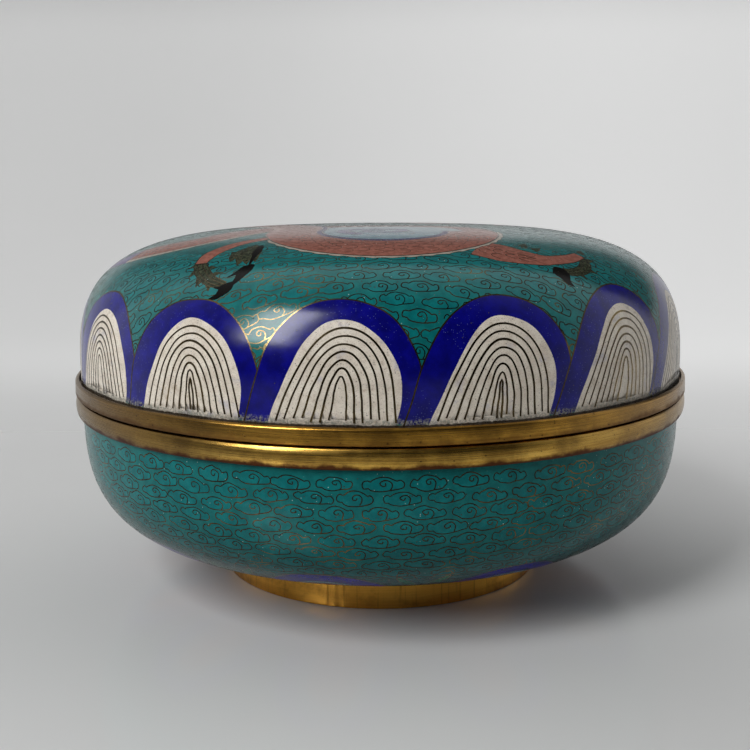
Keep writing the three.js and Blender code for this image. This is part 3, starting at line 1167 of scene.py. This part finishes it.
def add_head(picture):
    """The head from the side: mane, horns, open jaws with tongue and teeth, eye, brow and whiskers."""
    add_mane(picture)
    for rise in HORN_RISES:
        horn = [(-1.5, 4.0 + rise * 0.5), (-4.0, 7.2 + rise), (-8.5, 8.6 + rise), (-12.5, 11.8 + rise),
                (-9.5, 7.0 + rise), (-4.6, 5.2 + rise), (-1.0, 2.6 + rise * 0.5)]
        picture.fill(on_head(horn), "white", width=LIMB_WIRE)
    picture.fill(on_head(JAW), "terracotta")
    picture.fill(on_head(TONGUE), "violet", width=FACE_WIRE)
    picture.fill(on_head(SKULL), "terracotta")
    for places, shape in (UPPER_TEETH, LOWER_TEETH):
        for place in places:
            picture.fill(set_on_head([(place + x, y) for x, y in shape]), "white", width=TOOTH_WIRE)
    picture.fill(on_head(EYE), "white", width=CURL_WIRE)
    picture.fill(set_on_head(circle(0.85, 12, (4.3, 2.6))), "black", width=0)
    picture.fill(on_head(BROW), "fur", width=FACE_WIRE)
    picture.line(on_head(NOSTRIL, closed=False), FACE_WIRE)
    picture.line(on_head(CHEEK, closed=False), FACE_WIRE)
    for bend in (1, -1):
        whisker = [(15.8, 1.6), (20.0, 3.4 * bend + 2), (23.0, 1.0 * bend + 1), (25.6, 5.0 * bend),
                   (28.4, 3.4 * bend)]
        picture.line(on_head(whisker, closed=False), RING_WIRE)


PEARL = np.array([37.0, 13.0])
PEARL_RADIUS = 4.6
POOL_PLACE = (0.0, -0.38)
POOL_RADIUS = 19.0


def add_pearl(picture):
    """A flaming pearl before the dragon's jaws."""
    for k in range(5):
        angle = math.radians(-35 + 62 * k)
        root = PEARL + 3.6 * np.array([math.cos(angle), math.sin(angle)])
        picture.fill(flame(root, angle, 8.5, 4.2, bend=0.5), "terracotta", width=CURL_WIRE)
    turn = np.linspace(0.6, 9.5, 40)
    spiral = PEARL + np.column_stack([np.cos(turn), np.sin(turn)]) * (turn / 9.5 * 3.2)[:, None]
    pearl = circle(PEARL_RADIUS, 44, PEARL)
    picture.fill(pearl, "white", width=RING_WIRE, inner=[(spiral, CURL_WIRE)])


def add_pool(picture):
    """What shows inside the body's loop: pale blue with a violet curl."""
    centre = on_dragon(POOL_PLACE)
    picture.fill(circle(POOL_RADIUS, 90, centre), "sky", width=0)
    turn = np.linspace(0, 3.2 * math.pi, 60)
    reach = 1.2 + turn * 0.78
    curl = np.column_stack([np.cos(turn + 0.5), np.sin(turn + 0.5) * 0.85]) * reach[:, None] + centre
    thick = np.linspace(0.5, 1.5, len(curl))
    picture.fill(band(curl, thick, -thick), "violet", width=CURL_WIRE)
    for shift in (-6.4, 6.4):
        swirl = turned(smooth(CLOUD_CURL, 5), 0, (centre[0] + shift - 5, centre[1] - 8.0), 9.0)
        picture.line(swirl, CURL_WIRE)


def add_tail(picture, path):
    """Violet tongues of hair at the tail's tip."""
    root = path[0] + (0.5, -0.5)
    for angle, length in ((150, 11), (118, 9.5), (182, 9.0)):
        tongue = flame(root, math.radians(angle), length, 4.4, bend=0.3)
        picture.fill(tongue, "violet", width=LIMB_WIRE)


def add_dragon(picture):
    """The whole dragon. Its tail passes under the front legs, and its coil over them."""
    path = even(smooth(on_dragon(BODY), 10), BODY_STEP)
    width = np.interp(np.linspace(0, 1, len(path)), BODY_SHARES, BODY_HALVES)
    add_tail(picture, path)
    tip, tip_width = stretch(path, width, 0.0, SCALED_SHARE)
    picture.fill(band(tip, tip_width, -tip_width), "violet")
    tail = stretch(path, width, SCALED_SHARE, TAIL_SHARE)
    add_body(picture, *tail, belly="ivory", fins=())
    add_pool(picture)
    add_front_legs(picture)
    coil = stretch(path, width, COIL_SHARE, 1.0)
    add_body(picture, *coil, belly="violet", fins=((0.0, 0.325), (0.52, 1.0)))
    add_back_legs(picture)
    add_head(picture)
    add_pearl(picture)


# ---- the lid

LID_CLOUD_WIDTH = 7.6
LID_CLOUD_PITCH = 8.3
LID_ROW_PITCH = 3.4
LID_CLOUD_MARGIN = 8.0
LID_CLOUD_STRAY = (0.3, 0.16)


def lid_picture(shell, band_s):
    """The dragon and the arches on a ground of clouds in straight rows, each a little off its place."""
    rng = random.Random(11)
    picture = Picture(shell)
    add_dragon(picture)
    add_arches(picture, band_s, rng)
    figures = picture.outlines()
    reach = band_s - LID_CLOUD_MARGIN
    rows = int(reach / LID_ROW_PITCH)
    for row in range(-rows, rows + 1):
        half = math.sqrt(max(0.0, reach**2 - (row * LID_ROW_PITCH) ** 2))
        count = int(half / LID_CLOUD_PITCH) + 1
        for k in range(-count, count + 1):
            u = (k + (row % 2) / 2) * LID_CLOUD_PITCH + rng.gauss(0, LID_CLOUD_STRAY[0])
            v = row * LID_ROW_PITCH + rng.gauss(0, LID_CLOUD_STRAY[1])
            if math.hypot(u, v) > reach:
                continue
            width = LID_CLOUD_WIDTH * rng.uniform(0.9, 1.06)
            outline, curl = cloud(width, rng)
            tilt = rng.gauss(0, 0.05)
            add_cloud(turned(outline, tilt, (u, v)), turned(curl, tilt, (u, v)), figures, picture)
    return picture


# ---- the bowl

BOWL_ROW_FIRST = 2.8
BOWL_ROW_PITCH = 3.08
BOWL_CLOUD_PITCH = 8.65
BOWL_CLOUD_WIDTH = 7.9
FOOT_COVER = 0.4
BOWL_CLOUD_STRAY = (0.0035, 0.12)
LAPPET_COUNT = 10
LAPPET_FIRST = math.radians(-10.5)
LAPPET_TOP = 25.7
LAPPET_HALF = math.radians(15.8)
LAPPET_FILLS = ((0.0, "cobalt", OUTLINE_WIRE), (4.2, "sky", RING_WIRE), (6.0, "terracotta", RING_WIRE))
LAPPET_LINES = (7.5, 8.8)


def lappet(angle, top_s, foot_s, shell, inset):
    """A petal that stands on the foot and reaches up the bowl, as its outline from foot to foot."""
    share = np.linspace(-1, 1, 41)
    half = LAPPET_HALF * (1 - inset / 12.0)
    s = foot_s + (top_s - inset - foot_s) * (1 - np.abs(share) ** 2.6) ** 0.5
    return even(shell.on_wall(angle + share * half, s), 0.9)


def add_lappets(picture, band_s, foot_s):
    """The ring of lappets, each with smaller ones inside it, and scrolls between them."""
    shell = picture.shell
    top_s = band_s - LAPPET_TOP
    for k in range(LAPPET_COUNT):
        angle = LAPPET_FIRST + TURN * k / LAPPET_COUNT
        for inset, finish, wire in LAPPET_FILLS:
            picture.fill(lappet(angle, top_s, foot_s, shell, inset), finish, wire)
        for inset in LAPPET_LINES:
            picture.line(lappet(angle, top_s, foot_s + 1, shell, inset), LIMB_WIRE)
        add_scroll(picture, angle + TURN / LAPPET_COUNT / 2, top_s, shell)


def add_scroll(picture, angle, top_s, shell):
    """A forked scroll of leaves between two lappets."""
    def on_wall(points):
        p = np.array(points)
        return shell.on_wall(angle + p[:, 0] / shell.radius(top_s), top_s - 4.0 + p[:, 1])
    for side in (-1, 1):
        leaf = [(0, -6.5), (1.8 * side, -3.0), (4.4 * side, -0.4), (5.6 * side, 3.4), (3.6 * side, 2.0),
                (1.6 * side, -0.6)]
        picture.fill(smooth(on_wall(leaf), 4, closed=True), "leaf", width=LIMB_WIRE)
        curl = [(0.4 * side, 0.5), (2.6 * side, 4.6), (5.0 * side, 5.4), (5.6 * side, 3.9),
                (4.4 * side, 3.3)]
        picture.line(smooth(on_wall(curl), 4), CURL_WIRE)


def bowl_picture(shell, band_s, foot_s):
    """The lappets on a ground of clouds in rows round the bowl, each a little off its place."""
    rng = random.Random(23)
    picture = Picture(shell)
    add_lappets(picture, band_s, foot_s)
    figures = picture.outlines()
    picture.figures.append((circle(foot_s, 120), "base"))
    rows = int((band_s - foot_s - BOWL_ROW_FIRST) / BOWL_ROW_PITCH)
    for row in range(rows):
        s = band_s - BOWL_ROW_FIRST - BOWL_ROW_PITCH * row
        radius = float(shell.radius(s))
        count = round(TURN * radius / BOWL_CLOUD_PITCH)
        for k in range(count):
            angle = TURN * (k + (row % 2) / 2) / count + rng.gauss(0, BOWL_CLOUD_STRAY[0])
            width = BOWL_CLOUD_WIDTH * rng.uniform(0.88, 1.06) * (TURN * radius / count) / BOWL_CLOUD_PITCH
            rise = s + rng.gauss(0, BOWL_CLOUD_STRAY[1])
            tilt = rng.gauss(0, 0.04)
            wires = []
            for path in cloud(width, rng):
                p = turned(path, tilt)
                wires.append(shell.on_wall(angle + p[:, 0] / radius, rise + p[:, 1]))
            add_cloud(*wires, figures, picture)
    return picture


# ---- metal parts

def slow_waves(amount, seed):
    """A hand-fitted ring's small lack of roundness, inward only, in mm."""
    rng = random.Random(seed)
    waves = [(k, rng.uniform(0, TURN), amount / (1 + 0.15 * k)) for k in (3, 5, 8, 13, 21)]

    def dent(angle, r):
        return sum(size * (1 + math.sin(k * angle + shift)) / 2 for k, shift, size in waves) / 2
    return dent


RIM_PARTING = 0.4
BOWL_BAND_BULGE = 0.7
BULGE_STEPS = 15
FOOT_SEAM = math.radians(-13.2)
SEAM_HALF = math.radians(0.45)
SEAM_DEPTH = 0.22
FOOT_BEVEL = 0.35


def foot_dent(angle, r):
    """The foot's soldered seam: a narrow groove up its outer face, and slow waves."""
    off = (angle - FOOT_SEAM + math.pi) % TURN - math.pi
    groove = SEAM_DEPTH * max(0.0, 1 - abs(off) / SEAM_HALF)
    outer = (r > r.max() - 0.5).astype(float)
    return outer * groove + slow_waves(0.05, 5)(angle, r)


def foot_outline(shell):
    """The foot strip's section: from the floor up to the underside of the bowl."""
    section = np.array(meridian("foot_ring"))
    outer = section[:, 0].max()
    inner = section[:, 0].min()

    def under_bowl(r):
        return float(np.interp(r, shell.r, shell.z)) - 0.02
    return np.array([
        (inner, 0.25), (inner + 0.25, 0.0), (outer - FOOT_BEVEL, 0.0), (outer - 0.08, 0.12),
        (outer, FOOT_BEVEL), (outer - 0.12, 3.0), (outer - 0.16, 6.0),
        (outer - 0.1, under_bowl(outer) - 0.5), (outer, under_bowl(outer)), (inner, under_bowl(inner)),
    ])


def rounded_face(outline, bulge):
    """A ring's section with its outer side, the part near its greatest radius, made half an ellipse."""
    p = np.array(outline)
    widest = p[:, 0].max()
    outer = p[:, 0] > widest - bulge - 0.01
    low, high = p[outer, 1].min(), p[outer, 1].max()
    turn = np.linspace(-math.pi / 2, math.pi / 2, BULGE_STEPS)
    face = np.column_stack([
        widest - bulge * (1 - np.cos(turn)),
        (low + high) / 2 + (high - low) / 2 * np.sin(turn),
    ])
    first = np.flatnonzero(outer)
    start = first[0] if not outer[0] else np.flatnonzero(~outer)[-1] + 1
    rest = np.roll(p, -start, axis=0)[len(first):]
    if p[start % len(p), 1] > (low + high) / 2:
        face = face[::-1]
    return np.vstack([face, rest])


def metal_parts(shell):
    """The lid's and the bowl's bands and the foot under the bowl's shell."""
    lid_low, lid_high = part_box("lid_rim")
    bowl_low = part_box("bowl_rim")[0]
    bowl_top = lid_low.z / MM - RIM_PARTING
    lid_brass = band_brass("lid_band_brass", lid_low.z / MM, lid_high.z / MM, LID_BAND_LOOK)
    bowl_brass = band_brass("bowl_band_brass", bowl_low.z / MM, bowl_top, BOWL_BAND_LOOK)
    bowl_outline = rounded_face(meridian("bowl_rim"), BOWL_BAND_BULGE)
    parts = (
        ("lid_band", "lid_rim", softened(meridian("lid_rim"), 0.15), lid_brass, slow_waves(0.06, 3)),
        ("bowl_band", "bowl_rim", bowl_outline, bowl_brass, slow_waves(0.06, 4)),
        ("foot_strip", "foot_ring", foot_outline(shell), foot_brass("foot_strip_brass"), foot_dent),
    )
    for name, node, outline, finish, dent in parts:
        piece = lathe(name, outline, finish, dent)
        finish_piece(piece, node)


# ---- enamel parts

# Each one's deep and pale colour, and what else differs from the usual enamel
PLAIN_ENAMELS = {
    "terracotta": (
        (0.21, 0.072, 0.052), (0.35, 0.135, 0.098), {"specks": 0.12, "pits": 0.16, "mottle": 0.9},
    ),
    "white": ((0.52, 0.48, 0.42), (0.72, 0.68, 0.6), {"pits": 0.2}),
    "ivory": ((0.30, 0.26, 0.21), (0.46, 0.41, 0.35), {"pits": 0.2}),
    "violet": ((0.030, 0.016, 0.10), (0.08, 0.042, 0.20), {}),
    "sky": ((0.075, 0.15, 0.20), (0.15, 0.25, 0.29), {}),
    "fur": ((0.006, 0.010, 0.006), (0.070, 0.080, 0.045), {"pits": 0.5, "pit_size": 0.3, "mottle": 1.6}),
    "leaf": ((0.01, 0.085, 0.06), (0.03, 0.14, 0.085), {}),
    "black": ((0.001, 0.001, 0.001), (0.004, 0.003, 0.002), {"specks": 0.0}),
    "base": ((0.02, 0.20, 0.22), (0.04, 0.30, 0.31), {"pits": 0.25}),
}


def enamel_finish(kind, name, band_height):
    """The finish of one enamel colour. On the lid, those that reach the band are flaky above it."""
    if kind in ("ground", "cloud"):
        return teal(name, band_height, brighter=kind == "cloud")
    if kind == "cobalt":
        return cobalt(name, band_height)
    if kind == "cream":
        return cream(name, band_height)
    deep, pale, settings = PLAIN_ENAMELS[kind]
    return enamel(name, deep, pale, FIGURE_IOR, **settings)


def enamel_finishes(prefix, regions, band_height):
    """The finishes that one shell needs, by kind, with the ground first."""
    kinds = ["ground"] + sorted({kind for _, kind in regions} | {"base"})
    return {kind: enamel_finish(kind, prefix + "_" + kind, band_height) for kind in kinds}


def finish_piece(piece, node=None):
    """Says which body a piece rides, which node it replaces, if any."""
    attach(piece, "root")
    if node:
        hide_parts(node)


def enamel_parts(side, shell, picture, band_height, cloud_wire, figure_wire, seed):
    """The lid's or the bowl's enamel shell, the wires round its clouds, and those of its figures."""
    regions = picture.regions("cloud")
    finishes = enamel_finishes(side, regions, band_height)
    piece = shell_piece(side + "_enamel_shell", shell, regions, finishes, "base", seed)
    finish_piece(piece, side + "_shell")
    clouds = wire_piece(side + "_cloud_wires", shell, picture.cloud_wires, cloud_wire, seed + 1)
    finish_piece(clouds)
    figures = wire_piece(side + "_figure_wires", shell, picture.wire_paths(), figure_wire, seed + 2)
    finish_piece(figures)


def lid_parts(shell, cloud_wire, figure_wire):
    band_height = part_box("lid_rim")[1].z / MM
    picture = lid_picture(shell, shell.at_height(band_height))
    enamel_parts("lid", shell, picture, band_height, cloud_wire, figure_wire, 1)


def bowl_parts(shell, cloud_wire, figure_wire):
    foot_s = shell.at_radius(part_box("foot_ring")[1].x / MM - FOOT_COVER)
    band_s = shell.at_height(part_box("bowl_rim")[0].z / MM)
    enamel_parts("bowl", shell, bowl_picture(shell, band_s, foot_s), None, cloud_wire, figure_wire, 4)


# ---- camera, light and floor

CAMERA_PLACE = (0.0, -0.266, 0.0946)
CAMERA_PITCH = 0.1763
CAMERA_YAW = -0.0047
CAMERA_ROLL = -0.0057
CAMERA_LENS = 49.98
ROOM_BRIGHT_WAY = (0.08, 0.8, -0.30)
ROOM_DIM = 0.025
ROOM_BRIGHT = 0.85
WINDOW_DISTANCE = 0.9
WINDOW_AZIMUTH = math.radians(-41.5)
WINDOW_ELEVATION = math.radians(38)
WINDOW_SIZE = (0.27, 0.54)
WINDOW_POWER = 5.5


def add_camera():
    """The photograph's camera, turned by its pitch, yaw and roll."""
    forward = Vector((
        math.sin(CAMERA_YAW) * math.cos(CAMERA_PITCH),
        math.cos(CAMERA_YAW) * math.cos(CAMERA_PITCH),
        -math.sin(CAMERA_PITCH),
    ))
    right = Vector((math.cos(CAMERA_YAW), -math.sin(CAMERA_YAW), 0.0))
    up = right.cross(forward)
    rolled_right = right * math.cos(CAMERA_ROLL) + up * math.sin(CAMERA_ROLL)
    rolled_up = up * math.cos(CAMERA_ROLL) - right * math.sin(CAMERA_ROLL)
    data = bpy.data.cameras.new("camera")
    data.sensor_width = 36.0
    data.lens = CAMERA_LENS
    data.clip_start = 0.01
    data.clip_end = 20.0
    camera = bpy.data.objects.new("camera", data)
    turn = Matrix((rolled_right, rolled_up, -forward)).transposed()
    camera.matrix_world = Matrix.Translation(CAMERA_PLACE) @ turn.to_4x4()
    bpy.context.scene.collection.objects.link(camera)
    bpy.context.scene.camera = camera


def add_world():
    """A room that is dim in front of the box and above it, and paler behind it and to its sides."""
    world = bpy.data.worlds.new("studio")
    world.use_nodes = True
    tree = world.node_tree
    behind = tree.nodes.new("ShaderNodeVectorMath")
    behind.operation = "DOT_PRODUCT"
    behind.inputs[1].default_value = ROOM_BRIGHT_WAY
    tree.links.new(tree.nodes.new("ShaderNodeTexCoord").outputs["Generated"], behind.inputs[0])
    paler = tree.nodes.new("ShaderNodeMapRange")
    paler.interpolation_type = "SMOOTHSTEP"
    ends = {"From Min": -0.6, "From Max": 0.25, "To Min": ROOM_DIM, "To Max": ROOM_BRIGHT}
    for socket, value in ends.items():
        paler.inputs[socket].default_value = value
    tree.links.new(behind.outputs["Value"], paler.inputs["Value"])
    tree.links.new(paler.outputs[0], tree.nodes["Background"].inputs["Color"])
    bpy.context.scene.world = world


def add_window():
    """A soft rectangular light in front on the left, aimed at the middle of the box."""
    middle = Vector((0, 0, cad_high.z / 2))
    way = Vector((
        math.sin(WINDOW_AZIMUTH) * math.cos(WINDOW_ELEVATION),
        -math.cos(WINDOW_AZIMUTH) * math.cos(WINDOW_ELEVATION),
        math.sin(WINDOW_ELEVATION),
    ))
    data = bpy.data.lights.new("window", "AREA")
    data.shape = "RECTANGLE"
    data.size, data.size_y = WINDOW_SIZE
    data.energy = WINDOW_POWER
    window = bpy.data.objects.new("window", data)
    window.location = middle + way * WINDOW_DISTANCE
    window.rotation_mode = "QUATERNION"
    window.rotation_quaternion = way.to_track_quat("Z", "Y")
    bpy.context.scene.collection.objects.link(window)


def add_floor():
    """A pale floor that sweeps up into a backdrop."""
    half, front, wall_y, bend, top, level = 1.6, -1.6, 0.80, 0.42, 1.3, -0.05 * MM
    turn = np.linspace(0, math.pi / 2, 17)
    section = [(front, 0.0)] + [(wall_y - bend * (1 - math.sin(t)), bend * (1 - math.cos(t))) for t in turn]
    section.append((wall_y, top))
    verts = [(x, y, z + level) for y, z in section for x in (-half, half)]
    faces = [(2 * i, 2 * i + 1, 2 * i + 3, 2 * i + 2) for i in range(len(section) - 1)]
    floor = new_piece("floor", verts, faces, [floor_finish()])
    floor.data.polygons.foreach_set("use_smooth", [True] * len(faces))


def build():
    """The whole scene: the setting, then the box from the lid down."""
    bpy.context.scene.view_settings.view_transform = "Standard"
    add_camera()
    add_world()
    add_window()
    add_floor()
    lid = Shell("lid_shell", True, LID_SIDE_POWER, LID_CROWN_POWER, LID_STRAIGHT)
    bowl = Shell("bowl_shell", False, BOWL_SIDE_POWER, BOWL_FLOOR_POWER, BOWL_STRAIGHT)
    cloud_wire = wire_metal("cloud_wire_brass", (0.014, 0.012, 0.006), (0.050, 0.038, 0.015))
    figure_wire = wire_metal("figure_wire_brass", (0.040, 0.028, 0.014), (0.105, 0.076, 0.038))
    lid_parts(lid, cloud_wire, figure_wire)
    bowl_parts(bowl, cloud_wire, figure_wire)
    metal_parts(bowl)


build()
